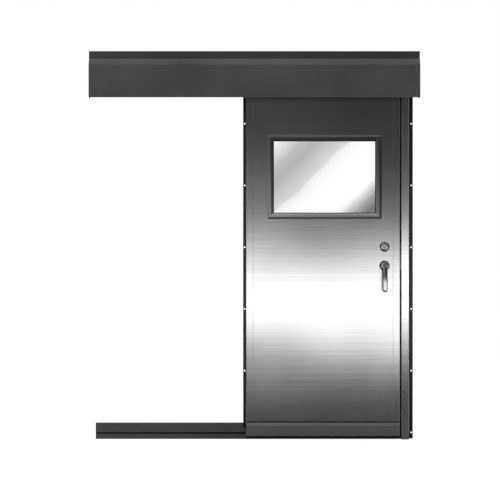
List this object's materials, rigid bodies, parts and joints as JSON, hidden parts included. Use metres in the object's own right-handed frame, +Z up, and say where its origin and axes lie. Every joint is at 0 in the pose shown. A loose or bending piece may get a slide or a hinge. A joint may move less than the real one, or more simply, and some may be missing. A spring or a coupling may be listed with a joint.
{
  "type": "sliding wheelhouse door",
  "caption": "Steel door leaf with a framed window and lever handle, hung on rollers from a hooded rail so that it slides sideways along a sill track in front of its bolted frame.",
  "frame": {"origin": "middle of the doorway's width, at the sill's foot, on the bulkhead's face", "axes": "+X to the right seen from the front, +Y into the bulkhead, +Z up"},
  "size_m": [1.764, 0.1347, 2.064],
  "materials": {
    "brushed_steel": "brushed along X",
    "dark_steel": "dark satin",
    "black_steel": "black satin",
    "bright_steel": "satin",
    "seal_rubber": "matte",
    "glass": "clear",
    "nylon": "matte",
    "foam_core": "matte"
  },
  "bodies": {
    "frame": {"left_jamb": "black_steel", "right_jamb": "black_steel", "frame_head": "black_steel", "strike_post": "brushed_steel", "strike_plate": "bright_steel", "left_seal": "seal_rubber", "right_seal": "seal_rubber", "head_seal": "seal_rubber", "sill_track": "dark_steel", "track_end_cap": "dark_steel", "wall_plate": "dark_steel", "hood_cover": "dark_steel", "hood_left_end": "dark_steel", "hood_right_end": "dark_steel", "roller_rail": "bright_steel", "rail_spacers": "dark_steel", "left_rail_stop": "seal_rubber", "right_rail_stop": "seal_rubber"},
    "leaf": {"leaf_front_skin": "brushed_steel", "leaf_back_skin": "brushed_steel", "leaf_core": "foam_core", "left_stile": "brushed_steel", "right_stile": "brushed_steel", "leaf_top_rail": "brushed_steel", "leaf_bottom_rail": "brushed_steel", "kick_strip": "brushed_steel", "bottom_lip": "seal_rubber", "window_frame": "brushed_steel", "window_gasket": "seal_rubber", "window_glass": "glass", "window_bead": "brushed_steel", "handle_rose": "bright_steel", "lock_rose": "bright_steel", "lock_barrel": "bright_steel", "lock_faceplate": "bright_steel", "flush_pull": "bright_steel", "left_hanger": "dark_steel", "right_hanger": "dark_steel", "left_roller": "nylon", "right_roller": "nylon", "guide_tongues": "nylon"},
    "handle": {"lever_handle": "bright_steel", "handle_spindle": "bright_steel", "inside_turn": "bright_steel"}
  },
  "joints": [
    {"name": "leaf_slide", "type": "slide", "parent": "frame", "child": "leaf", "axis": [-1, 0, 0], "range_m": [0, 0.76]},
    {"name": "handle_turn", "type": "hinge", "parent": "leaf", "child": "handle", "pos_m": [0.31, -0.0842, 0.92], "axis": [0, 1, 0], "range_deg": [0, 90]}
  ]
}
